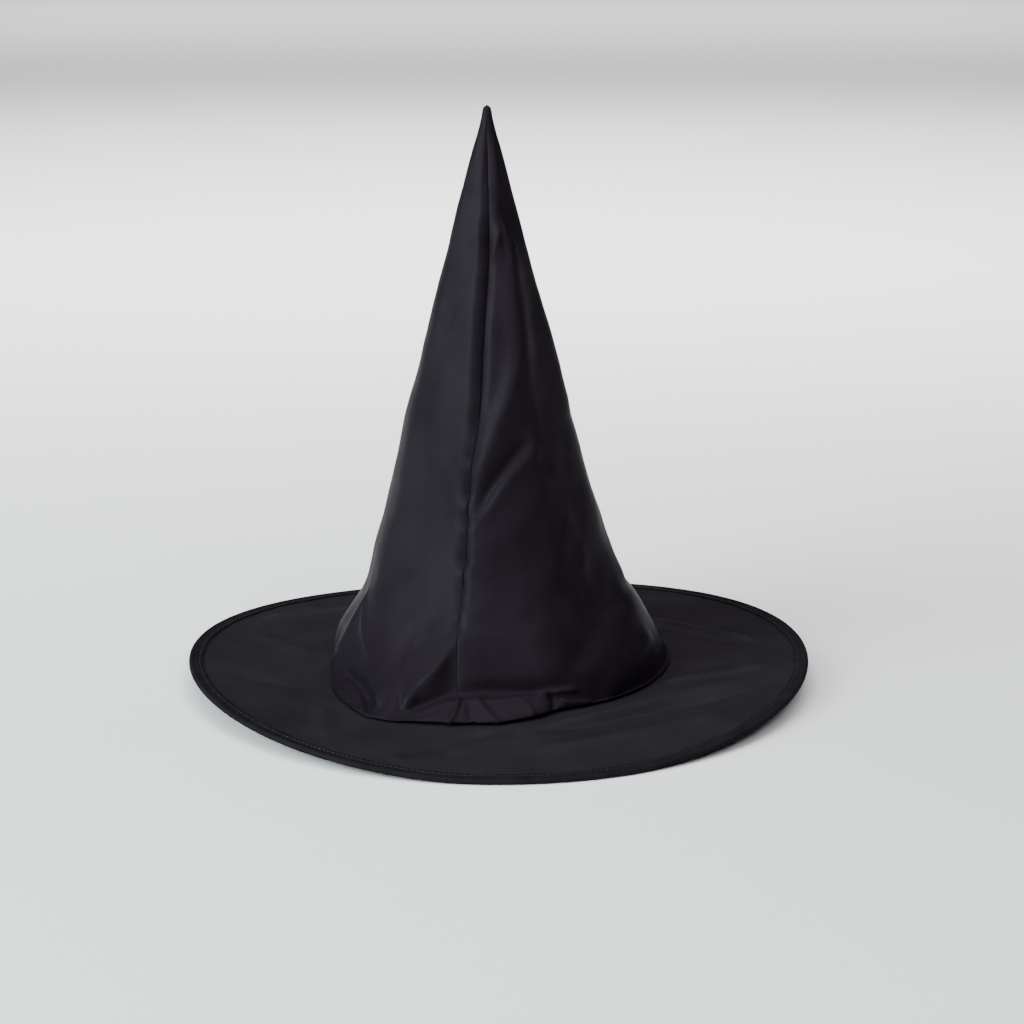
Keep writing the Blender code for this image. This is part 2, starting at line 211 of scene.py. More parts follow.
# Radii and heights in mm at the levels 4 to 85, at angles in degrees. The first two
# heights of each are above the brim's cloth, on which the crown's foot lies.
FOOT = {
    -180: ((99.5, 101, 101.3, 99.8, 95.5, 88.2, 80, 71), (1.1, 3.5, 19, 26, 34, 44, 60, 85)),
    -172: ((100, 101, 101.5, 98, 93.8, 86.5, 78.8, 71), (0.9, 2.4, 18, 26.5, 35, 46, 61, 85)),
    -165: ((101.5, 103.5, 104.8, 101, 96.2, 88.5, 79, 71), (0.8, 2, 16.5, 24.5, 33, 46, 62, 86)),
    -157: ((103.5, 108, 105, 100.6, 95.9, 89.2, 80.6, 71), (0.8, 1.8, 15, 22.5, 30.5, 42, 61, 86)),
    -149: ((106.5, 114.5, 105.4, 101, 96, 89.5, 82.3, 71.2), (0.8, 1.8, 14.5, 21.5, 30, 41, 60, 86)),
    -140: ((110, 120.8, 107.8, 103.5, 98.6, 93.5, 83.8, 71.4), (0.8, 1.8, 13.8, 21, 29, 37, 58, 86)),
    -131: ((112.5, 126, 115.3, 110.7, 104.5, 97.5, 84.5, 71.5), (0.8, 1.7, 10.5, 17.5, 25, 34.5, 56, 86)),
    -126: ((113.8, 128.3, 121, 116.4, 108, 97, 84.5, 71.5), (0.8, 1.4, 10, 15.3, 23.7, 34.5, 56.5, 86)),
    -122: ((114, 128, 120.5, 114, 106.4, 97, 84.5, 71.5), (0.8, 1.2, 13, 18.8, 26, 36, 57, 86)),
    -118: ((113.5, 126.5, 121.5, 117.5, 113.6, 104, 84.7, 71.4), (0.8, 1.5, 10.2, 11.4, 19, 29.5, 57, 86)),
    -114: ((112.5, 124, 117.5, 110.8, 109, 106.2, 85, 71.2), (0.8, 1.7, 11.6, 14.2, 20.5, 28, 57, 86)),
    -105: ((110, 120.5, 110, 100.5, 98.2, 94.2, 83.4, 70.9), (0.8, 1.8, 15.2, 19.5, 28, 41.5, 60, 85)),
    -92: ((107.5, 117.5, 107, 97.5, 97.2, 92.2, 82.8, 70.7), (0.8, 1.8, 16.5, 20.8, 30, 43, 60, 85)),
    -79: ((104, 110.5, 103, 97.8, 97.8, 91.8, 82.2, 70.6), (0.9, 2, 17.2, 21, 31, 43.5, 60, 85)),
    -68: ((101, 103.5, 101.8, 99.8, 98.2, 90.8, 81, 70.4), (1, 2.2, 15, 22, 31, 43.5, 60, 85)),
    -52: ((100, 103, 102, 99.8, 97.6, 90, 79.8, 70), (1, 1.8, 11.5, 20, 30.5, 44, 60, 85)),
    -26: ((100, 103.3, 102.2, 99.2, 95.8, 89, 79.5, 69.6), (1, 1.8, 11.5, 20.5, 30.5, 44.5, 60, 85)),
    0: ((101, 105, 103.4, 99.8, 96, 89, 78.6, 68.4), (1, 2, 12, 21, 30.5, 44.5, 61, 86)),
    14: ((101.5, 105.5, 104.8, 100.8, 96.3, 88.8, 77.8, 67.8), (1, 2.4, 13, 21.5, 31, 45, 62, 87)),
    40: ((100.5, 103.5, 103.6, 101, 96.5, 88.5, 77.6, 68.2), (1.1, 3.2, 16.5, 24.5, 33.5, 45, 61, 85)),
    75: ((100, 103, 104, 101.5, 96.5, 88.8, 78.5, 69.2), (1.1, 4, 19, 26.5, 34.5, 44.5, 60, 85)),
    110: ((100.5, 104.5, 103.2, 99.5, 95.5, 87.8, 78, 69.2), (1.1, 3.5, 18.5, 26, 33.5, 45, 61, 85)),
    150: ((99.5, 101.5, 102.7, 100.5, 96.5, 89.3, 79, 69.2), (1.2, 4.2, 19.5, 27, 35, 45, 60, 85)),
}

# The cone above the foot, in mm; its levels are its heights
CONE_HEIGHTS = (110, 150, 192, 233, 263, 293, 322, 333.7, 340, 344.5, 346.5, 347)
CONE_RADII = (62.7, 52.5, 42, 31.5, 23.4, 15.8, 8.1, 4.6, 3.1, 2.2, 1.2, 0.15)

# Flat facets of the cone, as (angle of the facet's middle in degrees, share of the
# radius that its middle keeps)
FACETS = ((-131, 0.905), (-33, 0.93), (62, 0.95), (141, 0.94))
FACET_SOFTNESS = 0.022

# The seam's course, as (level in mm, angle in degrees)
SEAM = (
    (-14, -103), (16, -103), (40, -104.4), (69, -105), (102, -104.5), (142, -102),
    (165, -97.6), (221, -93.5), (271, -86.5), (333, -88.5), (347, -88.5),
)

# Folds of the crown: the path's angles in degrees and levels in mm, the height in mm
# (outwards is positive), the width in mm to the left and right of the path, and the
# sharpness (2 is round, 1 is a sharp edge)
CROWN_FOLDS = {
    "edge beside the seam, upper": (
        (-70, -66, -57, -61, -58, -62, -70, -80, -88, -95, -99),
        (286, 272, 256, 240, 223, 206, 190, 171, 155, 136, 118), 3.4, 10, 6, 1.8),
    "bright roll to the seam": (
        (-75, -66, -74, -88, -95, -99), (243, 222, 190, 165, 145, 122), 1.6, 5, 5, 2),
    "valley at the seam, upper": (
        (-86, -87, -92, -94, -97), (290, 264, 232, 200, 170), -2.2, 4.5, 4.5, 1.2),
    "groove off the seam": (
        (-99, -93.5, -87, -79, -68.5, -58), (115, 126, 135.5, 145, 154, 161), -4, 5.4, 3.2, 1.7),
    "ridge under that groove": (
        (-100, -96, -88, -79.5, -69.5, -61, -53), (110, 116, 126, 136, 145, 151, 156), 1.5, 2.6, 4.5, 1.6),
    "notch": ((-56, -50, -47), (150, 143, 136), -1, 3, 4, 1.8),
    "pinch, left leg": ((-67, -73, -80, -84), (280, 273, 266, 258), 1.5, 1.6, 2, 1.3),
    "pinch, right leg": ((-67, -59, -50, -42), (280, 276, 270, 262), 1.5, 1.6, 2, 1.3),
    "hollow in the pinch": ((-66, -64, -60), (272, 266, 258), -1.4, 2.2, 2.4, 1.7),
    "hollow over the pinch": ((-62, -50, -38), (292, 288, 281), -1.3, 3, 3.5, 1.8),
    "kink in the left outline": ((-172, -153, -135), (305, 300, 296), -0.7, 3, 4, 2),
    "dent near the tip": ((-84, -79, -77), (325, 318, 308), -0.5, 2.5, 3.5, 2),
    "dent left of the seam, high": ((-118, -112, -116), (300, 290, 278), -0.7, 5, 5, 2),
    "dent left of the seam": ((-122, -114, -112), (270, 262, 250), -0.8, 6, 5, 2),
    "dent at the left": ((-150, -140, -128), (238, 230, 226), -0.8, 6, 6, 2),
    "long swell on the left": ((-135, -130, -126), (215, 170, 120), 0.8, 12, 10, 2),
    "streak on the right, upper": ((-52, -42, -36), (120, 110, 96), 0.5, 6, 6, 1.8),
    "streak on the right": ((-70, -58, -44, -34), (72, 88, 106, 126), 0.4, 5, 7, 1.7),
    "streak on the right, lower": ((-62, -48, -36, -28), (52, 68, 84, 104), 0.4, 6, 6, 1.7),
    "valley over the right lobe": (
        (-74, -66, -56, -42, -26, -14), (18, 30, 38, 47, 54, 62), -1.5, 8, 8, 1.8),
    "swell under the right lobe": ((-56, -34, -12), (22, 28, 34), 2.2, 8, 10, 2),
    "crease in the right lobe": ((-52, -42, -30), (13, 17, 19), -0.8, 1.4, 2, 1.4),
    "edge at the right outline": ((2, 1, -2, -6), (112, 92, 72, 56), 1.3, 5, 5, 1.4),
    "hollow behind the right edge": ((12, 13, 12, 8), (110, 90, 70, 54), -3.2, 5, 6, 1.6),
    "swell at the right outline": ((-8, -6, -4), (232, 195, 160), 1.2, 13, 13, 2),
    "back fold at the right": ((27, 26, 25, 23), (118, 95, 72, 52), 0.9, 6, 8, 1.7),
    "facet's left edge": (
        (-165, -157, -149, -140, -131, -126, -122), (50, 42, 37, 32, 27, 22, 9), 1.7, 2.6, 2.6, 1.2),
    "facet's right edge": (
        (-103, -107, -111, -114, -118, -122), (47, 42, 41, 40, 27, 9), 0.8, 3, 2, 1.2),
    "left ridge": ((-167, -165, -163, -161), (62, 44, 28, 16), 1.2, 2.2, 2.2, 1.2),
    "left roll": ((-158, -148, -139, -131, -123), (15.5, 15, 14.5, 13.5, 10), 0.9, 1.6, 1.6, 1.4),
    "crease over the left roll": (
        (-156, -147, -139, -131, -125), (18, 18, 17.5, 17, 13), -1.8, 3.2, 2.4, 1.6),
    "crease under the left roll": ((-154, -143, -134, -126), (11, 10.5, 10, 9), -0.9, 1.4, 1.4, 1.5),
    "front crease": ((-118, -111, -102, -91, -79, -71), (21, 23, 24, 24, 24, 24), -0.5, 1.6, 2, 1.4),
    "swell at the left outline": ((178, 177, 176, 176), (58, 100, 150, 190), 1.4, 14, 14, 2),
    "front lip": ((-117, -109, -100, -90, -80, -73), (13, 17, 18.5, 18.5, 18.5, 18), 0.9, 1.4, 1.6, 1.4),
    "streak of the seam's end": ((-102.5, -102.5, -104), (21, 14, 7), 1.5, 1.4, 2, 1.5),
    "long streak of the band": ((-98.5, -94, -88), (21, 14, 7), 1.7, 1.4, 2, 1.5),
    "hollow of the band": ((-99.5, -98, -96), (18, 12, 7), -1.2, 2, 2, 2),
    "short streak of the band": ((-85, -81, -79), (20, 14, 8), 0.9, 1.6, 2.2, 1.6),
    "end fold, groove": ((-73.5, -72, -73.5), (23, 15, 7), -2.6, 1.4, 1.7, 1.4),
    "end fold, ridge": ((-78, -70, -62), (20, 22, 22), 2, 1.4, 1.8, 1.4),
    "end fold, tail": ((-70.5, -65, -57), (16, 13, 12.5), 1.5, 1.4, 2, 1.5),
    "end fold, shadow": ((-69, -63, -56), (11, 10, 9.5), -1, 1, 1.4, 1.5),
    "back drape": ((62, 74, 82, 84), (96, 60, 30, 14), 2.2, 8, 7, 1.7),
    "back hollow": ((96, 99, 98), (70, 45, 22), -2.4, 7, 8, 1.8),
    "back fold, left": ((118, 114, 112, 113), (110, 70, 38, 16), 2, 8, 7, 1.7),
    "back fold, low": ((160, 140, 122), (46, 34, 27), -2.2, 4, 5, 1.6),
    "back pleat": ((150, 152, 158, 163), (110, 78, 48, 26), 1.6, 7, 7, 1.7),
    "back dent, high": ((80, 95, 108), (240, 228, 222), -0.9, 6, 6, 2),
    "back dent": ((60, 76, 92), (190, 180, 178), -1.1, 8, 8, 2),
    "side dent": ((20, 34, 48), (215, 200, 196), -0.9, 7, 7, 2),
}

# Drag lines of the brim: the path's angles in degrees and radii in mm, then as above
BRIM_FOLDS = {
    "right, upper": ((48, 37, 25, 13, 6), (112, 128, 138, 154, 170), 3, 3.4, 3, 1.4),
    "right, upper valley": ((42, 30, 18, 6), (110, 126, 138, 154), -1.9, 5, 5, 2),
    "right, far": ((60, 50, 41), (150, 168, 176), 1.5, 4, 4, 1.7),
    "right, middle": ((-27, -18, -11, -7), (104, 124, 150, 168), 2.8, 3.2, 3.6, 1.4),
    "right, short": ((-12, -6, -1), (112, 126, 142), 1.1, 2.6, 3, 1.6),
    "right, long valley": (
        (-84, -70, -56, -43, -32, -22), (127, 124, 124, 129, 144, 164), -2.9, 4.4, 3.6, 1.6),
    "right, long ridge": ((-86, -66, -50, -36, -24, -14), (121, 117, 118, 124, 140, 164), 2.6, 6, 5, 1.8),
    "right, near": ((-86, -66, -48, -34), (150, 146, 152, 168), 2.1, 6, 6, 1.8),
    "front, faint": ((-92, -99, -106, -110), (124, 136, 155, 170), -2.3, 4, 3, 1.6),
    "front, faint ridge": ((-86, -95, -101), (130, 142, 160), 1.1, 5, 5, 2),
    "left, near": ((-140, -132, -126), (132, 150, 170), 1.3, 6, 6, 2),
    "left, middle": ((-152, -160, -166), (124, 146, 168), -0.8, 6, 6, 2),
    "left, far": ((120, 133, 145, 156), (138, 150, 163, 176), 2.7, 3.2, 3.6, 1.4),
    "left, flat": ((176, 170, 164), (112, 135, 160), 0.9, 7, 7, 2),
    "back, left": ((104, 112, 120), (110, 130, 158), 1.7, 4, 5, 1.7),
    "back, middle": ((92, 84, 80), (112, 138, 165), -1.7, 5, 5, 1.8),
    "back, right": ((76, 70, 62), (108, 130, 160), 1.7, 4, 5, 1.7),
}

# Columns round the crown, as (start of a stretch in degrees from the seam, step), which
# are closest at the seam and on the front, and rows up it, as (start in levels, step)
ROUND_STRETCHES = ((0, 0.25), (3, 0.75), (70, 2.5), (300, 0.75), (355, 0.25), (360, None))
UP_STRETCHES = ((-14, 2), (-6, 1), (42, 1.8), (110, 3.4), (334, 1.4), (347, None))

# Steps along a fold's path, the share that fades at each end, and reach in widths
PATH_STEPS = 28
FOLD_FADE = 0.22
FOLD_REACH = 3.2


def steps_between(stretches):
    """Places along stretches of (start, step)."""
    places = []
    for (start, step), (end, _) in zip(stretches, stretches[1:]):
        count = round((end - start) / step)
        places += [start + (end - start) * number / count for number in range(count)]
    return np.array([*places, stretches[-1][0]])


def rise(value, start, end):
    """Soft rise from 0 at start to 1 at end, or a fall where start is the greater."""
    share = np.clip((value - start) / (end - start), 0, 1)
    return share * share * (3 - 2 * share)


def slopes(knots, values, level_off):
    """Slopes of a smooth curve at its knots; level_off keeps it from overshooting."""
    steps = np.diff(knots)[:, None]
    rates = np.diff(values, axis=0) / steps
    before, after = rates[:-1], rates[1:]
    share = steps[1:] / (steps[:-1] + steps[1:])
    inner = before * share + after * (1 - share)
    if level_off:
        same_way = before * after > 0
        inner = np.where(same_way, 2 * before * after / np.where(same_way, before + after, 1), 0)
    return np.concatenate([rates[:1], inner, rates[-1:]])


def curve_through(knots, values, places, level_off=False):
    """Smooth curves through columns of values, each read at its own place."""
    knots = np.asarray(knots, float)
    slope = slopes(knots, values, level_off)
    first = np.clip(np.searchsorted(knots, places, side="right") - 1, 0, len(knots) - 2)
    size = knots[first + 1] - knots[first]
    share = (places - knots[first]) / size
    column = np.arange(values.shape[1])
    ends = values[first, column], values[first + 1, column]
    turns = slope[first, column] * size, slope[first + 1, column] * size
    square, cube = share**2, share**3
    from_ends = ends[0] * (2 * cube - 3 * square + 1) + ends[1] * (3 * square - 2 * cube)
    return from_ends + turns[0] * (cube - 2 * square + share) + turns[1] * (cube - square)


def lean(height):
    """Sideways shift of the crown's middle at a height."""
    return -TIP_LEAN * (1 - np.exp(-((height / LEAN_HEIGHT) ** 2)))


def rim_lift(angle):
    """Height of the wired edge over its resting height."""
    wave = 0.5 + 0.5 * np.cos(2 * (angle - SADDLE_TURN))
    resting = 0.5 - 0.5 * math.cos(2 * RESTING_HALF_ANGLE)
    return RIM_LIFT * np.maximum(0, (wave - resting) / (1 - resting))


def brim_share(radius):
    """How far out on the brim a radius is: 0 at the join, 1 from the hem's throat on."""
    return np.clip((radius - COLLAR_RING) / (HEM_THROAT - COLLAR_RING), 0, 1)


def brim_height(radius, angle):
    """Height of the middle between the brim's two cloths, without its drag lines."""
    share = brim_share(radius)
    level = JOIN_HEIGHT + (WIRE_HEIGHT - JOIN_HEIGHT) * share
    return level + rim_lift(angle) * share**SADDLE_GROWTH


def round_table(rows):
    """Each row of values, given at the angles of FOOT, at every half degree."""
    angles = np.array(sorted(FOOT), float)
    knots = np.concatenate([angles[-3:] - 360, angles, angles[:3] + 360])
    places = np.arange(-180, 180, 0.5)
    table = []
    for row in rows:
        values = np.concatenate([row[-3:], row, row[:3]])[:, None]
        table.append(curve_through(knots, np.repeat(values, len(places), 1), places, True))
    return places, np.array(table)


def foot_tables():
    """Tables of the radius and height of the crown's meridians, by angle."""
    angles = sorted(FOOT)
    radii, heights = np.array([FOOT[angle] for angle in angles]).transpose(1, 2, 0) * MM
    heights[:2] += brim_height(radii[:2], np.radians(angles)) + LAYER / 2 + CLOTH / 2
    places, radius_table = round_table(radii)
    _, height_table = round_table(heights)
    return places, radius_table, height_table


TABLE_ANGLES, RADIUS_TABLE, HEIGHT_TABLE = foot_tables()


def facet_share(angle):
    """Share of the round radius that the faceted cone has at an angle."""
    share = np.ones_like(angle)
    for middle, depth in FACETS:
        off = np.radians((angle - middle + 180) % 360 - 180)
        flat = depth / np.maximum(np.cos(off), 0.2)
        share = share - FACET_SOFTNESS * np.logaddexp(0, (share - flat) / FACET_SOFTNESS)
    return share


def on_meridians(angle, level, inner, table, cone):
    """Values at angles and levels, from those of the inner edge, the foot and the cone."""
    whole = np.ones_like(angle)
    rows = [whole * value * MM for value in inner]
    rows += [np.interp(angle, TABLE_ANGLES, row, period=360) for row in table]
    rows += [whole * value * MM for value in cone]
    return curve_through([*FOOT_LEVELS, *CONE_HEIGHTS], np.array(rows), level)


def crown_base(angle, level):
    """Points of the crown before its folds, from angles in degrees and levels in mm."""
    shape = np.shape(angle)
    angle, level = np.ravel(angle).astype(float), np.ravel(level).astype(float)
    radius = on_meridians(angle, level, INNER_RADII, RADIUS_TABLE, CONE_RADII)
    radius = np.where(level < 0, np.maximum(radius, INNER_RADII[0] * MM), radius)
    height = on_meridians(angle, level, INNER_HEIGHTS, HEIGHT_TABLE, CONE_HEIGHTS)
    strength = rise(level, *FACETS_IN) * rise(level, *FACETS_OUT)
    radius = radius * (1 + (facet_share(angle) - 1) * strength)
    turn = np.radians(angle)
    points = [radius * np.cos(turn) + lean(np.maximum(height, 0)), radius * np.sin(turn), height]
    return np.stack(points, axis=-1).reshape(*shape, 3)


def grid_normals(points):
    """Outward directions of a grid of rows going up and closed columns going round."""
    up = np.gradient(points, axis=0)
    wrapped = np.concatenate([points[:, -2:-1], points, points[:, 1:2]], axis=1)
    along = (wrapped[:, 2:] - wrapped[:, :-2]) / 2
    normal = np.cross(along, up)
    return normal / np.maximum(np.linalg.norm(normal, axis=-1, keepdims=True), 1e-12)


def fold_path(angles, levels, surface):
    """Closely spaced points of a fold's path on a surface."""
    places = np.linspace(0, len(angles) - 1, PATH_STEPS)
    columns = [np.repeat(np.array(row, float)[:, None], PATH_STEPS, 1) for row in (angles, levels)]
    return surface(*(curve_through(np.arange(len(angles)), column, places) for column in columns))


def fold_height(points, normals, route, height, left, right, sharpness):
    """How far one fold moves each point of a surface along its normal, in metres."""
    near = np.full(len(points), np.inf)
    side = np.zeros(len(points))
    share = np.zeros(len(points))
    for number, (start, end) in enumerate(zip(route, route[1:])):
        along = end - start
        place = np.clip((points - start) @ along / (along @ along), 0, 1)
        off = points - (start + place[:, None] * along)
        distance = np.linalg.norm(off, axis=1)
        closer = distance < near
        near[closer] = distance[closer]
        side[closer] = np.einsum("ij,ij->i", np.cross(along, off[closer]), normals[closer])
        share[closer] = (number + place[closer]) / (len(route) - 1)
    width = np.where(side > 0, left, right) * MM
    fade = rise(share, 0, FOLD_FADE) * rise(share, 1, 1 - FOLD_FADE)
    return height * MM * fade * np.exp(-((near / width) ** sharpness))


def folded(points, normals, folds, surface):
    """The surface's movement along its normals by all its folds."""
    flat_points = points.reshape(-1, 3)
    flat_normals = normals.reshape(-1, 3)
    total = np.zeros(len(flat_points))
    for angles, levels, height, left, right, sharpness in folds.values():
        route = fold_path(angles, levels, surface)
        reach = FOLD_REACH * max(left, right) * MM
        low, high = route.min(axis=0) - reach, route.max(axis=0) + reach
        near = np.all((flat_points > low) & (flat_points < high), axis=1)
        total[near] += fold_height(
            flat_points[near], flat_normals[near], route, height, left, right, sharpness
        )
    return total.reshape(points.shape[:2])


def uneven(points, dents):
    """Soft unevenness of cloth, in metres, from dents of (depth, size, seed)."""
    total = np.zeros(points.shape[:2])
    for depth, size, seed in dents:
        shift = Vector((seed * 7.3, seed * 3.1, seed * 5.7))
        values = [noise.noise(Vector(point) + shift) for point in points.reshape(-1, 3) / size]
        total += depth * np.array(values).reshape(total.shape)
    return total


def from_middle(points):
    """Distance of points from the crown's leaning middle line."""
    return np.hypot(points[..., 0] - lean(points[..., 2]), points[..., 1])


def seam_relief(across, level):
    """Height of the crown by the seam: its groove, the allowances' band and the puckers."""
    flank = np.where(across < 0, 1 + across / SEAM_DIP_LEFT, 1 - across / SEAM_DIP_RIGHT)
    dip = -SEAM_DIP * np.clip(flank, 0, 1) ** SEAM_DIP_SHARPNESS * rise(level, *DIP_IN)
    groove = -SEAM_GROOVE * np.exp(-((across / SEAM_GROOVE_WIDTH) ** 2))
    beat = sum(np.sin(level / length + start) * share for length, start, share in PUCKER_BEATS)
    bulge = np.exp(-(((level - TIGHTEST_LEVEL) / TIGHT_STRETCH) ** 2))
    tight = LOOSE_SHARE + (1 - LOOSE_SHARE) * bulge
    pucker = PUCKER * beat * tight * np.exp(-((np.abs(across) / PUCKER_WIDTH) ** 1.5))
    strength = rise(level, *SEAM_IN) * rise(level, *SEAM_OUT)
    return (groove + dip + pucker * (1 + 0.5 * (across < 0))) * strength


def crown_grid():
    """Angles, levels and points of the crown's sheet, seam to seam, and its normals."""
    level = steps_between(UP_STRETCHES)
    from_seam = steps_between(ROUND_STRETCHES)
    seam_levels, seam_angles = np.array(SEAM, float).T
    columns = np.repeat(seam_angles[:, None], len(level), 1)
    seam = curve_through(seam_levels, columns, level)
    levels = np.repeat(level[:, None], len(from_seam), 1)
    angles = seam[:, None] + from_seam[None, :]
    points = crown_base(angles, levels)
    normals = grid_normals(points)
    radius = from_middle(points)
    across = np.where(from_seam <= 180, from_seam, from_seam - 360)
    moved = folded(points, normals, CROWN_FOLDS, crown_base) * rise(levels, *FOLDS_IN)
    moved += seam_relief(np.radians(across)[None, :] * radius, levels)
    slack = rise(levels, *SLACK_IN) * rise(radius, 0, SLACK_RADIUS)
    moved += slack * uneven(points, CROWN_DENTS)
    points = points + normals * moved[..., None]
    points[:, -1] = points[:, 0]
    return from_seam, levels, points, grid_normals(points)


def read_line(places, knots, values):
    """Points or directions of a line, read at places between its knots."""
    return np.stack([np.interp(places, knots, values[:, axis]) for axis in range(3)], axis=-1)


def read_rows(from_seam, values, places):
    """Each row of a grid, read at its own place or places round the crown."""
    return np.array([read_line(place, from_seam, row) for place, row in zip(places, values)])


def allowance_columns(from_seam, levels, points, normals, depth):
    """Columns of one seam allowance, from the seam on, laid inside the crown left of it."""
    radius = np.maximum(from_middle(points[:, 0]), 1e-5)
    trimmed = TRIMMED_SHARE + (1 - TRIMMED_SHARE) * rise(levels[:, 0], *ALLOWANCE_IN)
    width = np.minimum(SEAM_ALLOWANCE, ALLOWANCE_SHARE * radius) * trimmed
    inward = np.minimum(depth, ALLOWANCE_DEPTH_SHARE * radius) * trimmed
    columns = []
    for share in ALLOWANCE_SHARES:
        places = 360 - np.degrees(width * share / radius)
        spot, out = read_rows(from_seam, points, places), read_rows(from_seam, normals, places)
        columns.append(spot - out * inward[:, None])
    return np.stack(columns, axis=1)


def flat_pattern(from_seam, points):
    """Place of each point on the flat quarter circle that the crown was cut as."""
    slant = np.linalg.norm(np.diff(points, axis=0), axis=-1)
    slant = np.concatenate([np.zeros((1, points.shape[1])), np.cumsum(slant, axis=0)])
    to_tip = slant[-1:].mean() - slant
    turn = np.radians(from_seam / 4)
    return np.stack([to_tip * np.cos(turn), to_tip * np.sin(turn)], axis=-1)


def mesh_of_grid(name, points, pattern, round_trip=False):
    """Mesh of a grid, with its place on the flat cloth as a UV map in metres."""
    rows, columns = points.shape[:2]
    wide = columns if round_trip else columns - 1
    row, column = np.meshgrid(np.arange(rows - 1), np.arange(wide), indexing="ij")
    after = (column + 1) % columns
    corners = [row * columns + column, row * columns + after]
    corners += [(row + 1) * columns + after, (row + 1) * columns + column]
    faces = np.stack(corners, axis=-1).reshape(-1, 4)
    mesh = bpy.data.meshes.new(name)
    mesh.from_pydata(points.reshape(-1, 3).tolist(), [], faces.tolist())
    cloth = mesh.uv_layers.new(name="cloth")
    cloth.data.foreach_set("uv", pattern.reshape(-1, 2)[faces.ravel()].ravel().astype(np.float32))
    mesh.validate()
    mesh.shade_smooth()
    return mesh


def in_scene(name, data):
    """New object of the scene, with its data."""
    made = bpy.data.objects.new(name, data)
    bpy.context.scene.collection.objects.link(made)
    return made


def aimed(name, data, at, aim):
    """New lamp or camera at a place, turned to another."""
    made = in_scene(name, data)
    made.location = at
    made.rotation_euler = (Vector(aim) - Vector(at)).to_track_quat("-Z", "Y").to_euler()
    return made


def add_piece(name, mesh, finish, body="root"):
    """Piece from a mesh, riding on a body, with its finish."""
    mesh.materials.append(finish)
    piece = in_scene(name, mesh)
    if body:
        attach(piece, body)
    return piece


def thickened(mesh, thickness, merge=0.0):
    """The mesh as cloth of a thickness, half to each side."""
    holder = in_scene("holder", mesh)
    if merge:
        weld = holder.modifiers.new("weld", "WELD")
        weld.merge_threshold = merge
    solid = holder.modifiers.new("thickness", "SOLIDIFY")
    solid.thickness = thickness
    solid.offset = 0
    shown = holder.evaluated_get(bpy.context.evaluated_depsgraph_get())
    made = bpy.data.meshes.new_from_object(shown)
    made.name = mesh.name
    bpy.data.objects.remove(holder)
    bpy.data.meshes.remove(mesh)
    made.materials.clear()
    return made


# Materials


def new_material(name):
    """New material and its node tree."""
    made = bpy.data.materials.new(name)
    made.use_nodes = True
    return made, made.node_tree


def wired(tree, node, values, sources):
    """A node with plain values and linked sources at its inputs."""
    for place, value in values.items():
        node.inputs[place].default_value = value
    for place, source in sources.items():
        tree.links.new(source, node.inputs[place])
    return node


def add_node(tree, kind, values, sources):
    """New wired node of a kind."""
    return wired(tree, tree.nodes.new("ShaderNode" + kind), values, sources)


def finished(made, values, colour, dullness, relief):
    """The material with its shader's plain values, colour, roughness and normal."""
    tree = made.node_tree
    sources = {"Base Color": colour, "Roughness": dullness, "Normal": relief}
    wired(tree, tree.nodes["Principled BSDF"], values, sources)
    return made


def cloth_place(tree):
    """Place on the flat cloth, in metres."""
    cloth = add_node(tree, "UVMap", {}, {})
    cloth.uv_map = "cloth"
    return cloth.outputs["UV"]


def object_place(tree):
    """Place in the piece, in metres."""
    return add_node(tree, "TexCoord", {}, {}).outputs["Object"]


def scaled_place(tree, source, scale):
    """Texture coordinates, stretched."""
    return add_node(tree, "Mapping", {"Scale": scale}, {"Vector": source}).outputs["Vector"]


def noise_at(tree, place, scale, detail=2.0):
    """Noise texture's value."""
    values = {"Scale": scale, "Detail": detail}
    return add_node(tree, "TexNoise", values, {"Vector": place}).outputs["Fac"]


def ramp_of(tree, value, dark, light):
    """Colour that goes from dark to light with a value."""
    ramp = add_node(tree, "ValToRGB", {}, {"Fac": value})
    for end, share, colour in zip(ramp.color_ramp.elements, NOISE_RANGE, (dark, light)):
        end.position = share
        end.color = (*colour, 1)
    return ramp.outputs["Color"]


def range_of(tree, value, low, high):
    """A noise's usual range of values taken to another range."""
    values = {"From Min": NOISE_RANGE[0], "From Max": NOISE_RANGE[1], "To Min": low, "To Max": high}
    return add_node(tree, "MapRange", values, {"Value": value}).outputs["Result"]


def bump_of(tree, height, distance, strength, under=None):
    """Bump on a shader's normal, over another bump."""
    sources = {"Height": height, "Normal": under} if under else {"Height": height}
    values = {"Distance": distance, "Strength": strength}
    return add_node(tree, "Bump", values, sources).outputs["Normal"]


def sum_of_halves(tree, first, second):
    """Half of one value and half of another."""
    mixed = add_node(tree, "Math", {1: 0.5}, {0: first})
    mixed.operation = "MULTIPLY_ADD"
    half = add_node(tree, "Math", {1: 0.5}, {0: second})
    half.operation = "MULTIPLY"
    tree.links.new(half.outputs[0], mixed.inputs[2])
    return mixed.outputs[0]


def satin(name, dark, light, roughness, shine):
    """Polyester satin: long warp floats, fine weft, soft creases and lint-dull patches."""
    made, tree = new_material(name)
    on_cloth = cloth_place(tree)
    warp = noise_at(tree, scaled_place(tree, on_cloth, (3200, 260, 1)), 1.0)
    weft = noise_at(tree, scaled_place(tree, on_cloth, (420, 2600, 1)), 1.0)
    place = object_place(tree)
    patches = noise_at(tree, place, 28.0, 4.0)
    creases = noise_at(tree, place, 240.0, 3.0)
    colour = ramp_of(tree, patches, dark, light)
    dullness = range_of(tree, sum_of_halves(tree, warp, patches), *roughness)
    first = bump_of(tree, creases, 0.0004, 0.25)
    second = bump_of(tree, warp, 0.00008, 0.35, first)
    relief = bump_of(tree, weft, 0.00005, 0.25, second)
    values = {"Specular IOR Level": shine, "Specular Tint": SATIN_TINT}
    return finished(made, values, colour, dullness, relief)


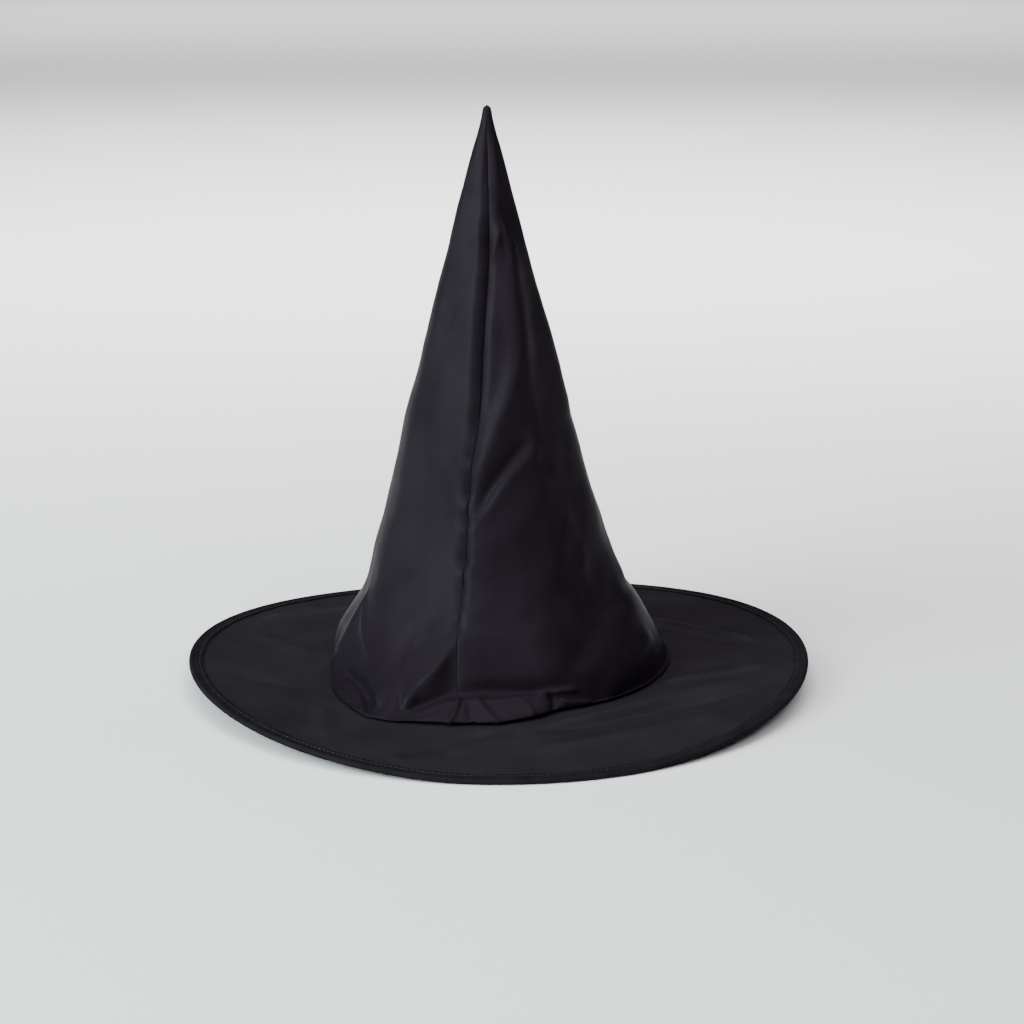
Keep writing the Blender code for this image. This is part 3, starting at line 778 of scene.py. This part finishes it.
def ribbed(name, dark, light, roughness, rib):
    """Tape or ribbon with fine ribs across it, of a width in metres."""
    made, tree = new_material(name)
    on_cloth = cloth_place(tree)
    ribs = noise_at(tree, scaled_place(tree, on_cloth, (1 / rib, 0.25 / rib, 1)), 1.0)
    colour = ramp_of(tree, noise_at(tree, on_cloth, 90.0, 3.0), dark, light)
    dullness = range_of(tree, ribs, *roughness)
    relief = bump_of(tree, ribs, rib * 0.3, 0.5)
    return finished(made, {"Specular IOR Level": 0.01}, colour, dullness, relief)


def felted(name, dark, light):
    """Non-woven of bonded short fibres."""
    made, tree = new_material(name)
    place = object_place(tree)
    fibres = noise_at(tree, scaled_place(tree, place, (1500, 1500, 500)), 1.0, 4.0)
    bonds = add_node(tree, "TexVoronoi", {"Scale": 700}, {"Vector": place})
    colour = ramp_of(tree, fibres, dark, light)
    dullness = range_of(tree, fibres, 0.8, 0.95)
    first = bump_of(tree, fibres, 0.0002, 0.6)
    relief = bump_of(tree, bonds.outputs["Distance"], 0.0002, 0.4, first)
    return finished(made, {}, colour, dullness, relief)


def spun(name, dark, light):
    """Twisted sewing thread."""
    made, tree = new_material(name)
    twist = add_node(tree, "TexWave", {"Scale": 1800}, {"Vector": object_place(tree)})
    twist.bands_direction = "DIAGONAL"
    plies = twist.outputs["Fac"]
    colour = ramp_of(tree, plies, dark, light)
    dullness = range_of(tree, plies, 0.4, 0.6)
    relief = bump_of(tree, plies, 0.00005, 0.5)
    return finished(made, {}, colour, dullness, relief)


def drawn_metal(name, dark, light, roughness):
    """Drawn wire or rolled tube: fine lines along it and small dull spots."""
    made, tree = new_material(name)
    place = object_place(tree)
    lines = noise_at(tree, scaled_place(tree, place, (300, 300, 4000)), 1.0, 3.0)
    colour = ramp_of(tree, noise_at(tree, place, 600.0, 3.0), dark, light)
    dullness = range_of(tree, lines, *roughness)
    relief = bump_of(tree, lines, 0.00003, 0.4)
    return finished(made, {"Metallic": 1.0}, colour, dullness, relief)


CROWN_SATIN = satin(
    "crown_satin", (0.0078, 0.0055, 0.0084), (0.0114, 0.0083, 0.0123), (0.44, 0.54), 0.045
)
BRIM_SATIN = satin(
    "brim_satin", (0.0122, 0.0104, 0.0134), (0.0163, 0.0141, 0.0179), (0.44, 0.54), 0.04
)
BINDING_TAPE = ribbed(
    "binding_tape", (0.0086, 0.0074, 0.0094), (0.0120, 0.0106, 0.0132), (0.5, 0.65), 0.0004
)
BAND_RIBBON = ribbed("band_ribbon", (0.007, 0.007, 0.008), (0.011, 0.011, 0.012), (0.55, 0.75), 0.0006)
INTERLINING = felted("interlining", (0.020, 0.020, 0.022), (0.036, 0.036, 0.038))
SEWING_THREAD = spun("sewing_thread", (0.007, 0.007, 0.009), (0.016, 0.016, 0.019))
SPRING_STEEL = drawn_metal("spring_steel", (0.36, 0.36, 0.37), (0.46, 0.46, 0.47), (0.28, 0.42))
ALUMINIUM = drawn_metal("aluminium", (0.56, 0.56, 0.57), (0.66, 0.66, 0.67), (0.34, 0.48))


# Pieces


def bend_with_tip(piece):
    """Bake the piece's placement into its mesh."""
    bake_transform(piece)


def build_crown():
    """The crown's sheet with its turned-up foot and both seam allowances."""
    from_seam, levels, points, normals = crown_grid()
    near = allowance_columns(from_seam, levels, points, normals, 2 * LAYER)[:, ::-1]
    far = allowance_columns(from_seam, levels, points, normals, LAYER)
    past_seam = np.array(ALLOWANCE_PLACES)
    places = np.concatenate([-past_seam[::-1], from_seam, 360 + past_seam])
    sheet = np.concatenate([near, points, far], axis=1)
    pattern = flat_pattern(places, sheet)
    mesh = thickened(mesh_of_grid("crown", sheet, pattern), CLOTH, SAME_POINT)
    crown = add_piece("crown", mesh, CROWN_SATIN, None)
    bend_with_tip(crown)
    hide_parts("crown_panel", "crown_fold_panel", "crown_tip_panel")
    return from_seam, levels, points, normals


def build_interlining(from_seam, levels, points, normals):
    """Stiff cone inside the crown, following its folds."""
    rows = (levels[:, 0] > INTERLINING_LEVEL) & (points[:, 0, 2] < INTERLINING_TOP)
    inner = (points - normals * INTERLINING_DEPTH)[rows]
    radius = from_middle(inner[:, 0])
    allowance = np.minimum(SEAM_ALLOWANCE, ALLOWANCE_SHARE * radius) + INTERLINING_GAP
    first = np.degrees(INTERLINING_GAP / radius)
    last = 360 - np.degrees(allowance / radius)
    share = np.linspace(0, 1, INTERLINING_COLUMNS)
    places = first[:, None] + (last - first)[:, None] * share
    sheet = read_rows(from_seam, inner, places)
    pattern = flat_pattern(places.mean(axis=0), sheet)
    mesh = thickened(mesh_of_grid("crown_lining", sheet, pattern), CLOTH)
    piece = add_piece("crown_lining", mesh, INTERLINING)
    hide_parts("crown_interlining")


def round_points(radius, turn, height):
    """Points at radii, angles in radians and heights."""
    parts = radius * np.cos(turn), radius * np.sin(turn), height + 0 * turn
    return np.stack(parts, axis=-1)


def brim_points(angle, radius, side=0):
    """Points of the brim without its drag lines, at angles in degrees and radii in mm."""
    turn, distance = np.radians(angle), np.asarray(radius) * MM
    return round_points(distance, turn, brim_height(distance, turn) + side)


def brim_slack(radius, angle):
    """Where the brim can sag and fold: not under the crown's foot nor in the hem."""
    wrapped = (angle + 180) % 360 - 180
    foot = np.interp(wrapped, TABLE_ANGLES, RADIUS_TABLE[1], period=360)
    hem = HEM_STITCH_RING - HEM_MARGIN
    return rise(radius - foot, *SLACK_OFF_FOOT) * rise(radius, hem, hem - HEM_FADE)


def build_brim_cloth(name, side, collar_ring, node):
    """One cloth of the brim, its inner edge turned up into the crown."""
    angles = np.arange(0, 360, BRIM_COLUMN)
    *turned, first = [collar_ring + off for off in COLLAR_BEND]
    radii = np.concatenate([turned, np.linspace(first, HEM_THROAT, BRIM_ROWS), [PANEL_EDGE]])
    flat_angles = np.repeat(angles[None, :], len(radii), 0)
    flat_radii = np.repeat(radii[:, None], len(angles), 1)
    points = brim_points(flat_angles, flat_radii / MM, side)
    up = np.zeros_like(points)
    up[..., 2] = 1
    moved = folded(points, up, BRIM_FOLDS, brim_points)
    moved += uneven(points * (1, 1, 0), BRIM_DENTS)
    points[..., 2] += moved * brim_slack(flat_radii, flat_angles)
    collar = []
    for height in (COLLAR_HEIGHT, COLLAR_LOW, COLLAR_BEND[1] + side):
        collar.append(round_points(collar_ring, np.radians(angles), JOIN_HEIGHT + height))
    grid = np.concatenate([np.array(collar), points])
    pattern = grid[..., :2].copy()
    pattern[: len(collar)] *= np.array(COLLAR_PATTERN)[:, None, None]
    mesh = thickened(mesh_of_grid(name, grid, pattern, True), CLOTH)
    piece = add_piece(name, mesh, BRIM_SATIN)
    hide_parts(node)


def hem_profile():
    """Mid-line of the binding, (radius, height above the wire's ring), from above to below."""
    bulge = HEM_OUTER - BINDING_CLOTH / 2
    inner_edge = BRIM_RADIUS - HEM_WIDTH
    legs = [inner_edge, inner_edge + 0.0009]
    legs += [HEM_STITCH_RING + off for off in (-0.0006, 0, 0.0007, 0.0016)]
    profile = [(radius, HEM_LEG) for radius in legs]
    for degrees in range(126, -127, -18):
        turn = math.radians(degrees)
        profile.append((WIRE_RING + bulge * math.cos(turn), bulge * math.sin(turn)))
    profile += [(radius, -HEM_LEG) for radius in reversed(legs)]
    return profile, len(legs)


def strip_pattern(profile, lengths):
    """Flat pattern of a strip with a profile, and its width."""
    sides = [math.dist(start, end) for start, end in zip(profile, profile[1:])]
    across = np.concatenate([[0], np.cumsum(sides)])
    return np.stack(np.meshgrid(lengths, across), axis=-1), float(across[-1])


def build_binding():
    """Bias tape round the brim's edge, drawn in at every stitch."""
    turn = np.arange(HEM_STITCHES * 2) * math.tau / (HEM_STITCHES * 2)
    profile, leg_rows = hem_profile()
    rows = []
    for number, (radius, height) in enumerate(profile):
        on_leg = number < leg_rows or number >= len(profile) - leg_rows
        edge = number in (0, len(profile) - 1)
        stitched = on_leg and abs(radius - HEM_STITCH_RING) < 0.0004
        pull = TAPE_PULL * (1 + np.cos(turn * HEM_STITCHES)) if stitched else 0
        swell = TAPE_SWELL * np.abs(np.sin(turn * 47 + number)) if on_leg else 0
        wander = sum(size * np.sin(turn * waves + start) for size, waves, start in TAPE_WANDER)
        ring = radius + wander * edge
        outward = 1 if height > 0 else -1
        level = brim_height(ring, turn) + height + outward * (swell - pull)
        rows.append(round_points(ring, turn, level))
    pattern, width = strip_pattern(profile, turn * WIRE_RING)
    mesh = thickened(mesh_of_grid("rim_tape", np.array(rows), pattern, True), BINDING_CLOTH)
    piece = add_piece("rim_tape", mesh, BINDING_TAPE)
    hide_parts("rim_binding")


def stitches(name, starts, ends, ups, height, body="root"):
    """Mesh of separate stitches between pairs of points, bowed out of the cloth."""
    rings, sides, radius = 6, 6, THREAD_RADIUS
    share = np.linspace(0, 1, rings)
    bow = np.sin(share * math.pi) ** 0.7
    points, faces = [], []
    for start, end, up in zip(starts, ends, ups):
        along = (end - start) / np.linalg.norm(end - start)
        out = up - along * (up @ along)
        out = out / np.linalg.norm(out)
        beside = np.cross(along, out)
        first = len(points)
        for step, place in enumerate(share):
            middle = start + (end - start) * place + out * (height * bow[step] - radius)
            size = radius * (STITCH_END_SHARE if step in (0, rings - 1) else 1)
            for side in range(sides):
                turn = math.tau * side / sides
                points.append(middle + size * (beside * math.cos(turn) + out * math.sin(turn)))
        for step in range(rings - 1):
            for side in range(sides):
                after = (side + 1) % sides
                low, high = first + step * sides, first + (step + 1) * sides
                faces.append((low + side, low + after, high + after, high + side))
        faces.append(tuple(first + side for side in reversed(range(sides))))
        faces.append(tuple(first + (rings - 1) * sides + side for side in range(sides)))
    mesh = bpy.data.meshes.new(name)
    mesh.from_pydata([tuple(p) for p in points], [], faces)
    mesh.shade_smooth()
    return add_piece(name, mesh, SEWING_THREAD, body)


def ring_stitches(name, radius, height_of, count, out, height, node):
    """Stitch row round the hat; out is its outer side, as (outwards, up)."""
    turn = np.arange(count) * math.tau / count
    half = STITCH_FILL * math.pi / count
    starts, ends = (round_points(radius, at, height_of(at)) for at in (turn - half, turn + half))
    piece = stitches(name, starts, ends, round_points(out[0], turn, out[1]), height)
    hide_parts(node)


def build_rim_stitches(name, side, node):
    """The row along the binding, on its upper side (1) or lower side (-1)."""

    def on_tape(angle):
        """Height of the tape's face at the row."""
        return brim_height(HEM_STITCH_RING, angle) + side * (HEM_LEG + BINDING_CLOTH / 2)

    ring_stitches(name, HEM_STITCH_RING, on_tape, HEM_STITCHES, (0, side), HEM_STITCH_RISE, node)


def build_sweatband():
    """Ribbon in the head opening, its top hemmed outwards."""
    top = BAND_RING - BAND_TILT
    profile = [
        (BAND_RING, BAND_BOTTOM),
        (BAND_RING - 0.0003, 0.011),
        (BAND_RING - 0.0004, BAND_LOOSE),
        (BAND_RING - 0.0008, 0.023),
        (top, BAND_TOP - 0.0006),
        (top + LAYER * 0.2, BAND_TOP),
        (top + LAYER * 0.8, BAND_TOP),
        (top + LAYER, BAND_TOP - 0.0006),
        (top + LAYER, BAND_TOP - BAND_HEM),
    ]
    half_gap = BAND_END_GAP / BAND_RING / 2
    turn = np.linspace(math.pi / 2 + half_gap, math.pi * 5 / 2 - half_gap, BAND_COLUMNS)
    rows = []
    for radius, height in profile:
        share = min(1, max(0, (height - BAND_LOOSE) / BAND_LOOSE_RISE))
        loose = BAND_WAVE * np.sin(turn * 5 + 1) * share
        rows.append(round_points(radius - abs(loose), turn, height))
    pattern, width = strip_pattern(profile, turn * BAND_RING)
    mesh = thickened(mesh_of_grid("band", np.array(rows), pattern), CLOTH)
    piece = add_piece("band", mesh, BAND_RIBBON)
    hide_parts("sweatband")


def build_band_stitches(name, inward, height, node):
    """Row round the inner face of the sweatband."""
    ring = BAND_RING - inward - (CLOTH / 2 + THREAD_LIFT)
    count = round(math.tau * BAND_RING / BAND_STITCH)
    ring_stitches(name, ring, lambda angle: height, count, (-1, 0), STITCH_RISE, node)


def build_seam_stitches(from_seam, points, normals):
    """Stitches of the crown's seam, on the inner face of its allowances."""
    radius = np.maximum(from_middle(points[:, 0]), 0.001)
    places = 360 - np.degrees(np.minimum(SEAM_THREAD_SIDE, SEAM_THREAD_SHARE * radius) / radius)
    line, out = read_rows(from_seam, points, places), read_rows(from_seam, normals, places)
    line = line - out * (2 * LAYER + CLOTH / 2 + THREAD_LIFT)
    height = points[:, 0, 2]
    keep = (height > SEAM_STITCHES_FROM) & (height < SEAM_STITCHES_TO)
    keep &= np.arange(len(line)) >= SEAM_STITCHES_FIRST_ROW
    line, out = line[keep], out[keep]
    length = np.concatenate([[0], np.cumsum(np.linalg.norm(np.diff(line, axis=0), axis=1))])
    starts = np.arange(round(length[-1] / SEAM_STITCH)) * SEAM_STITCH
    first = read_line(starts, length, line)
    last = read_line(starts + SEAM_STITCH * STITCH_FILL, length, line)
    ups = -read_line(starts, length, out)
    piece = stitches("seam_stitches", first, last, ups, STITCH_RISE, None)
    bend_with_tip(piece)
    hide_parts("crown_seam_thread", "crown_tip_thread")


def finish_carried_nodes():
    """Better materials on the CAD nodes whose shape is right."""
    for node, finish in (("rim_wire", SPRING_STEEL), ("rim_wire_sleeve", ALUMINIUM)):
        for slot in bpy.data.objects[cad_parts[node].name].material_slots:
            slot.material = finish


def add_light(name, at, aim, size, power, colour, spread):
    """Soft rectangular light."""
    data = bpy.data.lights.new(name, "AREA")
    data.shape = "RECTANGLE"
    data.size, data.size_y = size
    data.energy = power
    data.spread = math.radians(spread)
    data.color = colour
    aimed(name, data, at, aim)


def build_stage():
    """Pale floor, faint white surroundings and soft light, mostly from the left."""
    bpy.ops.mesh.primitive_plane_add(size=FLOOR_SIZE, location=(0, 0, -FLOOR_DROP))
    floor = bpy.context.object
    floor.name = "floor"
    made, tree = new_material("pale_floor")
    values = {"Base Color": (0.9, 0.9, 0.9, 1), "Roughness": 0.9, "Specular IOR Level": 0.1}
    wired(tree, tree.nodes["Principled BSDF"], values, {})
    floor.data.materials.append(made)
    world = bpy.data.worlds.new("surroundings")
    bpy.context.scene.world = world
    world.use_nodes = True
    back = world.node_tree.nodes["Background"]
    back.inputs["Color"].default_value = (1, 1, 1, 1)
    back.inputs["Strength"].default_value = SURROUNDINGS
    for light in LIGHTS:
        add_light(*light)


def build_camera():
    """Camera at the photograph's angle."""
    data = bpy.data.cameras.new("camera")
    data.lens = CAMERA_LENS
    data.sensor_width = CAMERA_SENSOR
    bpy.context.scene.camera = aimed("camera", data, CAMERA_AT, CAMERA_AIM)


build_camera()
build_stage()
build_brim_cloth("brim_top", LAYER / 2, COLLAR_RING, "brim_top_panel")
build_brim_cloth("brim_under", -LAYER / 2, COLLAR_RING - LAYER, "brim_under_panel")
build_binding()
build_rim_stitches("rim_stitches_top", 1, "rim_needle_thread")
build_rim_stitches("rim_stitches_under", -1, "rim_bobbin_thread")
build_sweatband()
build_band_stitches("join_stitches", BAND_JOIN_INWARD, BAND_JOIN, "join_thread")
build_band_stitches("band_stitches", BAND_TOP_INWARD, BAND_TOP - BAND_HEM / 2, "sweatband_thread")
places_round, crown_levels, crown_points, crown_normals = build_crown()
build_interlining(places_round, crown_levels, crown_points, crown_normals)
build_seam_stitches(places_round, crown_points, crown_normals)
finish_carried_nodes()
